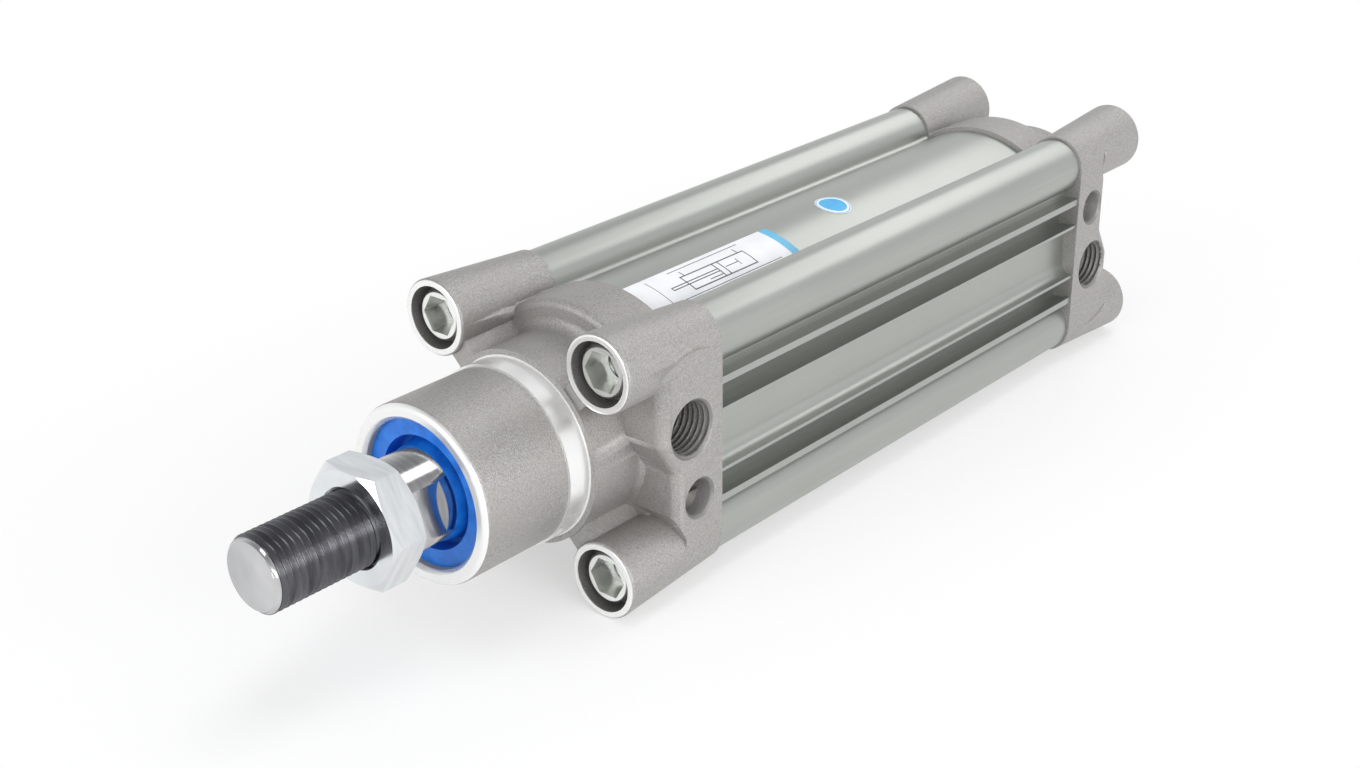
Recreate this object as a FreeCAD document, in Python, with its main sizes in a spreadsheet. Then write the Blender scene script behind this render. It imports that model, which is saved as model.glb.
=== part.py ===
import FreeCAD, Part
import math
import os
import re
import Sketcher

# Single rod cylinder, bore 50, stroke 100, in a grooved profile barrel with two cast caps.
# X runs out along the rod from the front mounting plane, Y points at the ports, Z is up.

# Driving dimensions, millimetres and degrees
SIZES = [
    ("stroke", 100.0, "travel of the piston"),
    ("cap_length", 29.5, "mounting face to joint face of a cap"),
    ("screw_pitch", 46.5, "spacing of the cap screws, both ways"),
    ("bore_radius", 25.0, "inside of the barrel"),
    ("arch_radius", 26.6, "outside of the barrel over the bore"),
    ("roll_radius", 7.1, "round corner of the barrel about a cap screw"),
    ("roll_side", 23.4, "middle of that corner off the axis, to the port side"),
    ("roll_height", 22.0, "middle of that corner off the axis, upwards"),
    ("thread_hole_radius", 3.7, "screw hole in the barrel corner"),
    ("flank_radius", 2.2, "hollow between arch and corner on the port side"),
    ("crease_radius", 1.2, "hollow between arch and corner on the plain side"),
    ("lip_face", 30.7, "tips of the slot lips from the axis"),
    ("lip_edge", 14.5, "outer side of the slot block"),
    ("lip_depth", 1.3, "thickness of a slot lip"),
    ("slot_inner", 7.4, "mouth of a sensor slot, inner side"),
    ("slot_outer", 12.9, "mouth of a sensor slot, outer side"),
    ("slot_under", 0.55, "undercut of a sensor slot behind each lip"),
    ("slot_floor", 25.6, "floor of a sensor slot from the axis"),
    ("valley_floor", 27.5, "floor beside the slot block from the axis"),
    ("valley_edge", 18.0, "half height of the valley floor"),
    ("trough_floor", 27.4, "floor of the middle trough from the axis"),
    ("trough_radius", 3.0, "rounded side of the middle trough"),
    ("trough_centre", 3.6, "centre of the rounded side from the middle"),
    ("bore_lead", 0.6, "chamfer at the mouth of the barrel bore"),
    ("boss_radius", 8.6, "round boss about a cap screw, at the mounting face"),
    ("boss_tail_radius", 7.6, "the same boss at the joint face"),
    ("boss_tail_side", 23.4, "middle of its tail off the axis, to the port side"),
    ("boss_tail_height", 22.2, "middle of its tail off the axis, upwards"),
    ("boss_edge", 0.7, "rounded front edge of a boss"),
    ("plate_radius", 27.7, "arched outline of the cap flange"),
    ("plate_thickness", 13.9, "flange in front of the joint face"),
    ("plate_edge", 1.8, "rounded front edge of the flange"),
    ("side_thickness", 11.8, "flange flats beside the bosses in front of the joint face"),
    ("neck_radius", 21.5, "round neck of a cap"),
    ("neck_setback", 0.7, "front of the neck behind the mounting face"),
    ("neck_fillet", 2.4, "hollow between neck and flange"),
    ("web_width", 5.6, "thickness of the web from neck to boss"),
    ("web_setback", 1.2, "front of a web behind the mounting face"),
    ("web_angle", 45.0, "direction of a web"),
    ("pilot_radius", 20.0, "machined locating ring"),
    ("pilot_length", 5.0, "front of the locating ring past the mounting face"),
    ("collar_radius", 19.5, "cast collar"),
    ("collar_length", 28.0, "front of the collar past the mounting face"),
    ("collar_edge", 1.5, "rounded front edge of the collar"),
    ("recess_radius", 20.0, "locating recess of the rear cap"),
    ("recess_depth", 4.0, "floor of that recess from the mounting face"),
    ("spigot_length", 9.0, "spigot of a cap inside the barrel"),
    ("spigot_gap", 0.05, "radial play of a spigot in the bore"),
    ("spigot_lead", 0.8, "chamfer at the end of a spigot"),
    ("ring_groove_depth", 1.8, "depth of the groove in a spigot"),
    ("ring_groove_width", 2.6, "width of the groove in a spigot"),
    ("ring_groove_start", 3.2, "groove wall nearest the joint face"),
    ("port_height", 6.4, "port axis over the middle"),
    ("port_to_joint", 9.7, "port axis in front of the joint face"),
    ("port_radius", 5.725, "tapping bore of a quarter inch pipe thread"),
    ("port_depth", 12.5, "depth of a port"),
    ("port_chamfer", 1.0, "chamfer at the mouth of a port"),
    ("passage_radius", 4.0, "drilling from the port to the chamber"),
    ("pad_face", 31.1, "milled port face from the axis"),
    ("pad_reach", 18.7, "front edge of the port face at the port, from the joint face"),
    ("pad_waist_reach", 14.3, "front edge of the port face below the port, from the joint face"),
    ("pad_top", 21.0, "upper end of the port face over the middle"),
    ("pad_bulge_low", 4.6, "lower end of the bulge about the port over the middle"),
    ("pad_waist_top", 2.8, "upper end of the waist under the middle"),
    ("pad_waist_low", 13.0, "lower end of the waist under the middle"),
    ("pad_foot", 18.5, "foot of the port face under the middle"),
    ("pad_fillet", 2.6, "rounding of the bulge and the waist"),
    ("spot_radius", 17.2, "reach of the milling cut about the port"),
    ("valve_height", -10.3, "cushion screw axis over the middle"),
    ("valve_to_joint", 7.4, "cushion screw axis in front of the joint face"),
    ("valve_radius", 4.0, "bore of the cushion screw"),
    ("valve_depth", 11.0, "depth of that bore"),
    ("valve_chamfer", 0.7, "chamfer at its mouth"),
    ("needle_radius", 1.6, "seat of the needle"),
    ("valve_recess", 4.0, "head of the cushion screw under the port face"),
    ("valve_gap", 0.05, "radial play of the cushion screw"),
    ("valve_head", 3.0, "threaded head of the cushion screw"),
    ("valve_stem_radius", 2.5, "stem of the cushion screw"),
    ("valve_stem", 2.4, "stem between head and land"),
    ("valve_land", 1.6, "land under the stem"),
    ("valve_needle_length", 4.2, "cone of the cushion screw"),
    ("valve_tip_radius", 0.5, "tip of the cone"),
    ("driver_width", 1.1, "slot in the cushion screw"),
    ("driver_depth", 1.3, "depth of that slot"),
    ("valve_ring_wire", 0.65, "cord radius of the ring on the cushion screw"),
    ("counterbore_radius", 7.0, "mouth of the recess for a cap screw"),
    ("counterbore_depth", 5.0, "depth of that mouth"),
    ("head_hole_radius", 6.0, "recess behind the mouth"),
    ("screw_hole_radius", 4.5, "clearance hole for a cap screw"),
    ("screw_head_radius", 5.75, "head of a cap screw"),
    ("screw_head_recess", 1.5, "head of a cap screw behind the mounting face"),
    ("screw_seat", 7.0, "cap under the head of a cap screw"),
    ("screw_head_chamfer", 0.6, "chamfer of that head"),
    ("screw_thread_length", 19.0, "thread of a cap screw inside the barrel"),
    ("screw_socket", 8.0, "width across the socket flats"),
    ("screw_socket_depth", 5.5, "depth of the socket"),
    ("screw_tap_radius", 3.32, "tapping bore in the cap screw"),
    ("screw_tap_depth", 17.0, "depth of that bore from the head"),
    ("chamber_radius", 14.0, "cushion chamber"),
    ("chamber_reach", 16.5, "floor of the chamber in front of the joint face"),
    ("cushion_seal_wall", 2.0, "cushion seal to the end of the spigot"),
    ("cushion_seal_width", 4.5, "width of the cushion seal"),
    ("cushion_seal_radius", 16.5, "outside of the cushion seal"),
    ("rod_radius", 10.0, "piston rod"),
    ("rod_flats", 17.0, "width across the rod flats"),
    ("rod_flats_length", 8.0, "length of the rod flats"),
    ("rod_flats_angle", 8.0, "direction the rod flats face"),
    ("rod_end", 37.0, "shoulder of the rod past the mounting face"),
    ("thread_radius", 8.0, "rod thread"),
    ("thread_length", 32.0, "length of the rod thread"),
    ("thread_undercut", 1.0, "depth of the relief behind the thread"),
    ("thread_relief", 3.0, "length of that relief"),
    ("thread_chamfer", 1.0, "chamfer at the rod tip"),
    ("shoulder_chamfer", 0.8, "chamfer of the rod shoulder"),
    ("spigot_rod_radius", 8.0, "rod inside the piston"),
    ("rod_tap_radius", 4.25, "tapped hole in the rod tail"),
    ("rod_tap_depth", 30.0, "depth of that hole"),
    ("nut_flats", 24.0, "width across the nut flats"),
    ("nut_height", 8.0, "height of the nut"),
    ("nut_gap", 0.3, "nut to rod shoulder"),
    ("nut_play", 0.05, "radial play of the nut on the thread"),
    ("nut_chamfer_angle", 30.0, "slope of the nut corners"),
    ("bush_outer_radius", 11.5, "outside of the rod bush"),
    ("bush_length", 27.0, "length of the rod bush"),
    ("running_gap", 0.05, "radial play of a running fit"),
    ("wiper_outer_radius", 16.0, "outside of the rod wiper"),
    ("wiper_recess", 2.1, "face of the wiper behind the collar front"),
    ("wiper_seat", 17.0, "back of the wiper past the mounting face"),
    ("wiper_groove_outer", 12.3, "outer side of the groove in the wiper face"),
    ("wiper_groove_inner", 11.2, "inner side of the groove in the wiper face"),
    ("wiper_groove_depth", 4.0, "depth of that groove"),
    ("wiper_lip_front", 0.9, "lip standing past the wiper face"),
    ("collar_lead", 0.8, "chamfer at the mouth of the collar bore"),
    ("end_gap", 0.3, "piston to cap at each end of the stroke"),
    ("piston_length", 28.4, "piston over both faces"),
    ("piston_gap", 0.3, "radial play of the piston halves"),
    ("guide_inner_radius", 22.6, "inside of the guide ring"),
    ("guide_width", 8.0, "width of the guide ring"),
    ("magnet_inner_radius", 18.0, "inside of the magnet ring"),
    ("magnet_width", 5.0, "width of the magnet ring"),
    ("seal_groove_radius", 19.5, "floor of a piston seal groove"),
    ("seal_groove_width", 4.4, "width of a piston seal groove"),
    ("seal_groove_offset", 2.6, "wall of that groove from the piston face"),
    ("seal_lip", 1.1, "thickness of the piston seal lip"),
    ("seal_vee", 2.2, "depth of the hollow behind the lip"),
    ("sleeve_radius", 12.5, "outside of a cushion sleeve"),
    ("sleeve_length", 20.0, "length of a cushion sleeve"),
    ("sleeve_flange", 2.0, "clamped flange of the front sleeve"),
    ("sleeve_taper", 2.0, "length of the tapered nose of a sleeve"),
    ("sleeve_nose", 0.5, "radius lost at that nose"),
    ("bolt_radius", 5.0, "shank of the piston bolt"),
    ("bolt_play", 0.25, "radial play of that bolt in the sleeve"),
    ("bolt_head_radius", 8.0, "head of the piston bolt"),
    ("bolt_head_height", 10.0, "height of that head"),
    ("bolt_head_play", 0.5, "radial play of that head"),
    ("bolt_head_sink", 0.5, "end of that head inside the sleeve"),
    ("bolt_socket", 8.0, "width across its socket"),
    ("bolt_socket_depth", 5.0, "depth of its socket"),
    ("bolt_thread_length", 24.0, "thread of the bolt inside the rod"),
    ("bolt_tail", 4.0, "bolt end to the floor of the rod hole"),
    ("joint_ring_wire", 0.95, "cord radius of the ring on the rod tail"),
    ("joint_ring_offset", 4.2, "middle of that ring from the front piston face"),
    ("label_start", 30.2, "front edge of the label behind the mounting face"),
    ("label_length", 50.0, "length of the label"),
    ("label_low", 5.0, "near edge of the label round the arch, degrees from the top"),
    ("label_high", 29.0, "far edge of the label round the arch, degrees from the top"),
    ("label_thickness", 0.15, "thickness of label and sticker"),
    ("sticker_setback", 102.0, "middle of the sticker behind the mounting face"),
    ("sticker_side", 4.0, "middle of the sticker off the centre line"),
    ("sticker_radius", 6.0, "round sticker"),
]

NAMES = sorted([name for name, value, note in SIZES], key=len, reverse=True)
PATTERN = re.compile(r"\b(" + "|".join(NAMES) + r")\b")
AXIS_X = FreeCAD.Vector(1, 0, 0)
AXIS_Z = FreeCAD.Vector(0, 0, 1)
HALF_TURN = 180
QUARTER_TURN = 90
TOUCH = 0.02
KNOWN = {}

doc = FreeCAD.newDocument("single_rod_cylinder")
sheet = doc.addObject("Spreadsheet::Sheet", "Sizes")
for row, (name, value, note) in enumerate(SIZES, start=1):
    sheet.set("A%d" % row, name)
    sheet.set("B%d" % row, str(value))
    sheet.setAlias("B%d" % row, name)
    sheet.set("C%d" % row, note)
trial = doc.addObject("Spreadsheet::Sheet", "Trial")
doc.recompute()

# Places along the axis, all measured back from the front mounting plane
SPIGOT_END = "(cap_length + spigot_length)"
PISTON_FRONT = "(" + SPIGOT_END + " + end_gap + stroke)"
PISTON_BACK = "(" + PISTON_FRONT + " + piston_length)"
BACK = "(" + PISTON_BACK + " + end_gap + " + SPIGOT_END + ")"
JOINT = "(" + BACK + " - cap_length)"
BARREL = "(" + JOINT + " - cap_length)"
PLATE_FRONT = "(cap_length - plate_thickness)"
SIDE_FRONT = "(cap_length - side_thickness)"
PORT_PLACE = "(cap_length - port_to_joint)"
VALVE_PLACE = "(cap_length - valve_to_joint)"
PAD_FRONT = "(cap_length - pad_reach)"
PAD_WAIST = "(cap_length - pad_waist_reach)"
SCREW_SEAT = "(cap_length - screw_seat)"
CHAMBER_END = "(cap_length - chamber_reach)"
SEAL_FAR = "(" + SPIGOT_END + " - cushion_seal_wall)"
SEAL_NEAR = "(" + SEAL_FAR + " - cushion_seal_width)"
CORNER = "screw_pitch / 2"


def bound(formula):
    """The formula with every size read from the sheet."""
    return PATTERN.sub(r"Sizes.\1", formula)


def number(formula):
    """The present value of a formula over the sizes, worked out in a sheet of its own."""
    if formula not in KNOWN:
        trial.set("A1", "=" + bound(formula))
        trial.recompute()
        KNOWN[formula] = float(trial.get("A1"))
    return KNOWN[formula]


def add_body(label, x="0", turned=False):
    """A body placed along the axis, turned about Y when it faces backwards."""
    body = doc.addObject("PartDesign::Body", label)
    body.Label = label
    if turned:
        body.Placement = FreeCAD.Placement(FreeCAD.Vector(), FreeCAD.Rotation(0, HALF_TURN, 0))
    body.setExpression(".Placement.Base.x", bound(x))
    return body


def add_sketch(body, role, name, offset="0", turn="0"):
    """A sketch on one of the body's own planes, moved along and turned about its normal."""
    sketch = body.newObject("Sketcher::SketchObject", name)
    plane = [item for item in body.Origin.OriginFeatures if item.Role == role][0]
    sketch.AttachmentSupport = [(plane, "")]
    sketch.MapMode = "FlatFace"
    sketch.AttachmentOffset = FreeCAD.Placement(FreeCAD.Vector(), FreeCAD.Rotation(AXIS_Z, number(turn)))
    sketch.setExpression(".AttachmentOffset.Base.z", bound(offset))
    if turn != "0":
        sketch.setExpression(".AttachmentOffset.Rotation.Angle", bound(turn + " * 1 deg"))
    return sketch


def drive(sketch, kind, places, formula):
    """A driving constraint that reads its value from the sheet."""
    index = sketch.addConstraint(Sketcher.Constraint(kind, *places, number(formula)))
    sketch.setExpression("Constraints[%d]" % index, bound(formula))


def pin(sketch, item, vertex, x, y):
    """Holds one point of the sketch at x, y from its origin."""
    if x == "0":
        sketch.addConstraint(Sketcher.Constraint("PointOnObject", item, vertex, -2))
    else:
        drive(sketch, "DistanceX", (-1, 1, item, vertex), x)
    if y == "0":
        sketch.addConstraint(Sketcher.Constraint("PointOnObject", item, vertex, -1))
    else:
        drive(sketch, "DistanceY", (-1, 1, item, vertex), y)


def draw_circle(sketch, x, y, radius):
    """A circle about x, y."""
    centre = FreeCAD.Vector(number(x), number(y), 0)
    item = sketch.addGeometry(Part.Circle(centre, AXIS_Z, number(radius)))
    pin(sketch, item, 3, x, y)
    drive(sketch, "Radius", (item,), radius)


def draw_outline(sketch, points, arcs=()):
    """A closed outline through the points; arcs give (start index, centre x, centre y, radius)."""
    places = [FreeCAD.Vector(number(x), number(y), 0) for x, y in points]
    rounded = dict((arc[0], arc[1:]) for arc in arcs)
    items = []
    for index, start in enumerate(places):
        end = places[(index + 1) % len(places)]
        if index in rounded:
            x, y, radius = rounded[index]
            centre = FreeCAD.Vector(number(x), number(y), 0)
            toward = (start + end) * 0.5 - centre
            toward.normalize()
            middle = centre + toward * number(radius)
            items.append(sketch.addGeometry(Part.Arc(start, middle, end)))
        else:
            items.append(sketch.addGeometry(Part.LineSegment(start, end)))
    ends = []
    for index, item in enumerate(items):
        starts_right = sketch.getPoint(item, 1).distanceToPoint(places[index]) < TOUCH
        ends.append((1, 2) if starts_right else (2, 1))
    for index, item in enumerate(items):
        after = (index + 1) % len(items)
        sketch.addConstraint(
            Sketcher.Constraint("Coincident", item, ends[index][1], items[after], ends[after][0])
        )
        pin(sketch, item, ends[index][0], *points[index])
        if index in rounded:
            drive(sketch, "Radius", (item,), rounded[index][2])


def draw_box(sketch, x_low, y_low, x_high, y_high):
    """An upright rectangle between two corners."""
    draw_outline(sketch, [(x_low, y_low), (x_high, y_low), (x_high, y_high), (x_low, y_high)])


def draw_hexagon(sketch, flats):
    """A hexagon about the origin with two flats level and corners at either side."""
    reach = flats + " / sqrt(3)"
    half = flats + " / 2"
    sides = reach + " / 2"
    draw_outline(
        sketch,
        [
            (reach, "0"),
            (sides, half),
            ("-" + sides, half),
            ("-" + reach, "0"),
            ("-" + sides, "-" + half),
            (sides, "-" + half),
        ],
    )


def extrude(body, sketch, name, length, cut=False, flip=False):
    """Pads or pockets a sketch; a pad follows the sketch normal, a pocket goes against it."""
    before = body.Tip.Shape.Volume if body.Tip else 0.0
    feature = body.newObject("PartDesign::Pocket" if cut else "PartDesign::Pad", name)
    feature.Profile = sketch
    feature.setExpression("Length", bound(length))
    feature.Reversed = flip
    doc.recompute()
    change = feature.Shape.Volume - before
    if (change < 0) != cut or change == 0:
        raise RuntimeError(body.Label + ": " + name + " changes nothing")
    return feature


def revolve(body, sketch, name, cut=False, axis="H_Axis"):
    """Turns a sketch once about one of its own axes."""
    before = body.Tip.Shape.Volume if body.Tip else 0.0
    feature = body.newObject("PartDesign::Groove" if cut else "PartDesign::Revolution", name)
    feature.Profile = sketch
    feature.ReferenceAxis = (sketch, [axis])
    feature.Angle = 2 * HALF_TURN
    doc.recompute()
    change = feature.Shape.Volume - before
    if (change < 0) != cut or change == 0:
        raise RuntimeError(body.Label + ": " + name + " changes nothing")
    return feature


def turned(body, name, points, arcs=(), cut=False):
    """A revolved profile about X, given as (x, radius) points."""
    sketch = add_sketch(body, "XY_Plane", name + "_profile")
    draw_outline(sketch, points, arcs)
    return revolve(body, sketch, name, cut)


def dress(body, kind, name, size, points):
    """Rounds (Fillet) or bevels (Chamfer) the edges of the last shape that pass the points."""
    base = body.Tip
    chosen = []
    for point in points:
        probe = Part.Vertex(FreeCAD.Vector(*point))
        for index, edge in enumerate(base.Shape.Edges, start=1):
            if edge.distToShape(probe)[0] < TOUCH and "Edge%d" % index not in chosen:
                chosen.append("Edge%d" % index)
    if not chosen:
        raise RuntimeError(body.Label + ": " + name + " finds no edge")
    feature = body.newObject("PartDesign::" + kind, name)
    feature.Base = (base, chosen)
    feature.setExpression("Radius" if kind == "Fillet" else "Size", bound(size))
    doc.recompute()
    return feature


CORNER_SIGNS = [(1, 1), (-1, 1), (-1, -1), (1, -1)]


def corner_text(sign, place=CORNER):
    """The coordinate of a corner on the given side."""
    return place if sign > 0 else "-" + place


# Profile barrel: arch, four corners and the slot blocks, then the bore, holes and slots
barrel = add_body("profile_barrel", "-" + JOINT)
sketch = add_sketch(barrel, "YZ_Plane", "arch_sketch")
draw_circle(sketch, "0", "0", "arch_radius")
extrude(barrel, sketch, "arch", BARREL)
sketch = add_sketch(barrel, "YZ_Plane", "corner_sketch")
for side, height in CORNER_SIGNS:
    draw_circle(sketch, corner_text(side, "roll_side"), corner_text(height, "roll_height"), "roll_radius")
extrude(barrel, sketch, "corners", BARREL)

# Hollows between arch and corners, wide on the port side and tight on the plain side
arch = number("arch_radius")
roll = number("roll_radius")
side, height = number("roll_side"), number("roll_height")
spread = math.hypot(side, height)
along = (spread ** 2 + arch ** 2 - roll ** 2) / (2 * spread)
across = math.sqrt(arch ** 2 - along ** 2)
inner = (along * side - across * height) / spread
outer = (along * height + across * side) / spread
middle = number(BARREL) / 2
dress(barrel, "Fillet", "flanks", "flank_radius", [(middle, inner, outer), (middle, inner, -outer)])
dress(barrel, "Fillet", "creases", "crease_radius", [(middle, -inner, outer), (middle, -inner, -outer)])

sketch = add_sketch(barrel, "YZ_Plane", "valley_sketch")
draw_box(sketch, "-valley_floor", "-valley_edge", "valley_floor", "valley_edge")
extrude(barrel, sketch, "valley_floors", BARREL)
sketch = add_sketch(barrel, "YZ_Plane", "slot_block_sketch")
draw_box(sketch, "-lip_face", "-lip_edge", "lip_face", "lip_edge")
extrude(barrel, sketch, "slot_blocks", BARREL)

sketch = add_sketch(barrel, "YZ_Plane", "trough_sketch", BARREL)
trough_side = "(trough_centre + trough_radius)"
for sign in ("", "-"):
    floor = sign + "trough_floor"
    line = sign + "(trough_floor + trough_radius)"
    top = sign + "(lip_face + trough_radius)"
    draw_outline(
        sketch,
        [
            (floor, "-trough_centre"),
            (floor, "trough_centre"),
            (line, trough_side),
            (top, trough_side),
            (top, "-" + trough_side),
            (line, "-" + trough_side),
        ],
        [(1, line, "trough_centre", "trough_radius"), (5, line, "-trough_centre", "trough_radius")],
    )
extrude(barrel, sketch, "troughs", BARREL, cut=True)

sketch = add_sketch(barrel, "YZ_Plane", "slot_mouth_sketch", BARREL)
for side in ("", "-"):
    for height in ("", "-"):
        draw_box(
            sketch,
            side + "slot_floor",
            height + "slot_inner",
            side + "(lip_face + lip_depth)",
            height + "slot_outer",
        )
extrude(barrel, sketch, "slot_mouths", BARREL, cut=True)
sketch = add_sketch(barrel, "YZ_Plane", "slot_room_sketch", BARREL)
for side in ("", "-"):
    for height in ("", "-"):
        draw_box(
            sketch,
            side + "slot_floor",
            height + "(slot_inner - slot_under)",
            side + "(lip_face - lip_depth)",
            height + "(slot_outer + slot_under)",
        )
extrude(barrel, sketch, "slot_rooms", BARREL, cut=True)

sketch = add_sketch(barrel, "YZ_Plane", "bore_sketch", BARREL)
draw_circle(sketch, "0", "0", "bore_radius")
for side, height in CORNER_SIGNS:
    draw_circle(sketch, corner_text(side), corner_text(height), "thread_hole_radius")
extrude(barrel, sketch, "bore_and_screw_holes", BARREL, cut=True)
mouth = number("bore_radius")
dress(
    barrel,
    "Chamfer",
    "bore_mouths",
    "bore_lead",
    [(0, 0, mouth), (number(BARREL), 0, mouth)],
)


def build_cap(label, front):
    """One cast cap; the rear one is the same casting turned about Y, closed and without collar."""
    cap = add_body(label, "0" if front else "-" + BACK, turned=not front)
    spigot = "(bore_radius - spigot_gap)"
    groove = "(bore_radius - ring_groove_depth)"
    groove_near = "(cap_length + ring_groove_start)"
    groove_far = "(cap_length + ring_groove_start + ring_groove_width)"
    hollow = "(" + PLATE_FRONT + " - neck_fillet)"
    points = [
        ("-" + SPIGOT_END, "0"),
        ("-" + SPIGOT_END, spigot + " - spigot_lead"),
        ("-" + SPIGOT_END + " + spigot_lead", spigot),
        ("-" + groove_far, spigot),
        ("-" + groove_far, groove),
        ("-" + groove_near, groove),
        ("-" + groove_near, spigot),
        ("-cap_length", spigot),
        ("-cap_length", "plate_radius"),
        ("-(" + PLATE_FRONT + " + plate_edge)", "plate_radius"),
        ("-" + PLATE_FRONT, "plate_radius - plate_edge"),
        ("-" + PLATE_FRONT, "neck_radius + neck_fillet"),
        ("-" + hollow, "neck_radius"),
        ("-neck_setback", "neck_radius"),
    ]
    arcs = [
        (9, "-(" + PLATE_FRONT + " + plate_edge)", "plate_radius - plate_edge", "plate_edge"),
        (11, "-" + hollow, "neck_radius + neck_fillet", "neck_fillet"),
    ]
    if front:
        points += [
            ("-neck_setback", "pilot_radius"),
            ("pilot_length", "pilot_radius"),
            ("pilot_length", "collar_radius"),
            ("collar_length - collar_edge", "collar_radius"),
            ("collar_length", "collar_radius - collar_edge"),
            ("collar_length", "0"),
        ]
        arcs.append(
            (17, "collar_length - collar_edge", "collar_radius - collar_edge", "collar_edge")
        )
    else:
        points.append(("-neck_setback", "0"))
    turned(cap, "turned_form", points, arcs)

    # Each boss tapers from the mounting face toward the corner of the barrel
    for index, (side, height) in enumerate(CORNER_SIGNS, start=1):
        head = add_sketch(cap, "YZ_Plane", "boss_head_%d" % index)
        draw_circle(head, corner_text(side), corner_text(height), "boss_radius")
        tail = add_sketch(cap, "YZ_Plane", "boss_tail_%d" % index, "-cap_length")
        draw_circle(
            tail,
            corner_text(side, "boss_tail_side"),
            corner_text(height, "boss_tail_height"),
            "boss_tail_radius",
        )
        boss = cap.newObject("PartDesign::AdditiveLoft", "boss_%d" % index)
        boss.Profile = head
        boss.Sections = [tail]
        doc.recompute()
    rim = [
        (0, side * number(CORNER) + number("boss_radius"), height * number(CORNER))
        for side, height in CORNER_SIGNS
    ]
    dress(cap, "Fillet", "boss_edges", "boss_edge", rim)

    for name, sign in (("web_rising", ""), ("web_falling", "-")):
        sketch = add_sketch(cap, "YZ_Plane", name + "_sketch", "-web_setback", sign + "web_angle")
        reach = "screw_pitch / sqrt(2)"
        draw_box(sketch, "-" + reach, "-web_width / 2", reach, "web_width / 2")
        extrude(cap, sketch, name, PLATE_FRONT, flip=True)

    sketch = add_sketch(cap, "YZ_Plane", "side_sketch", "-" + SIDE_FRONT)
    draw_box(sketch, "-pad_face", "-boss_tail_height", "pad_face", "boss_tail_height")
    extrude(cap, sketch, "side_flats", "side_thickness", flip=True)

    sketch = add_sketch(cap, "XZ_Plane", "pad_sketch")
    draw_outline(
        sketch,
        [
            ("-cap_length", "pad_top"),
            ("-" + PAD_FRONT, "pad_top"),
            ("-" + PAD_FRONT, "pad_bulge_low"),
            ("-" + PAD_WAIST, "-pad_waist_top"),
            ("-" + PAD_WAIST, "-pad_waist_low"),
            ("-" + SIDE_FRONT, "-pad_foot"),
            ("-cap_length", "-pad_foot"),
        ],
    )
    extrude(cap, sketch, "port_pad", "pad_face", flip=True)
    face = number("pad_face")
    dress(
        cap,
        "Fillet",
        "pad_rounding",
        "pad_fillet",
        [
            (-number(PAD_FRONT), face, number("pad_bulge_low")),
            (-number(PAD_WAIST), face, -number("pad_waist_top")),
        ],
    )

    # Milling cuts that level the bosses with the port face
    sketch = add_sketch(cap, "XZ_Plane", "spot_sketch", "-pad_face")
    draw_circle(sketch, "-" + PORT_PLACE, "port_height", "spot_radius")
    extrude(cap, sketch, "spot_face", "boss_radius", cut=True)
    sketch = add_sketch(cap, "XZ_Plane", "level_sketch", "-pad_face")
    draw_box(sketch, "-(cap_length + boss_edge)", "-screw_pitch", "-" + SIDE_FRONT, "0")
    extrude(cap, sketch, "levelled_boss", "boss_radius", cut=True)

    # Recess, seat and clearance hole of each cap screw
    sketch = add_sketch(cap, "YZ_Plane", "counterbore_sketch")
    for side, height in CORNER_SIGNS:
        draw_circle(sketch, corner_text(side), corner_text(height), "counterbore_radius")
    extrude(cap, sketch, "counterbores", "counterbore_depth", cut=True)
    sketch = add_sketch(cap, "YZ_Plane", "head_hole_sketch")
    for side, height in CORNER_SIGNS:
        draw_circle(sketch, corner_text(side), corner_text(height), "head_hole_radius")
    extrude(cap, sketch, "head_holes", SCREW_SEAT, cut=True)
    sketch = add_sketch(cap, "YZ_Plane", "screw_hole_sketch", "-" + SCREW_SEAT)
    for side, height in CORNER_SIGNS:
        draw_circle(sketch, corner_text(side), corner_text(height), "screw_hole_radius")
    extrude(cap, sketch, "screw_holes", "cap_length", cut=True)

    # Chamber with its seal groove, and the rod way of the front cap
    seal_near = "-" + SEAL_NEAR
    seal_far = "-" + SEAL_FAR
    points = [
        ("-" + SPIGOT_END, "0"),
        ("-" + SPIGOT_END, "chamber_radius"),
        (seal_far, "chamber_radius"),
        (seal_far, "cushion_seal_radius"),
        (seal_near, "cushion_seal_radius"),
        (seal_near, "chamber_radius"),
        ("-" + CHAMBER_END, "chamber_radius"),
    ]
    if front:
        points += [
            ("-" + CHAMBER_END, "bush_outer_radius"),
            ("wiper_seat", "bush_outer_radius"),
            ("wiper_seat", "wiper_outer_radius"),
            ("collar_length - collar_lead", "wiper_outer_radius"),
            ("collar_length", "wiper_outer_radius + collar_lead"),
            ("collar_length", "0"),
        ]
    else:
        points.append(("-" + CHAMBER_END, "0"))
    turned(cap, "way_through" if front else "chamber", points, cut=True)
    if not front:
        sketch = add_sketch(cap, "YZ_Plane", "recess_sketch")
        draw_circle(sketch, "0", "0", "recess_radius")
        extrude(cap, sketch, "locating_recess", "recess_depth", cut=True)

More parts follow.
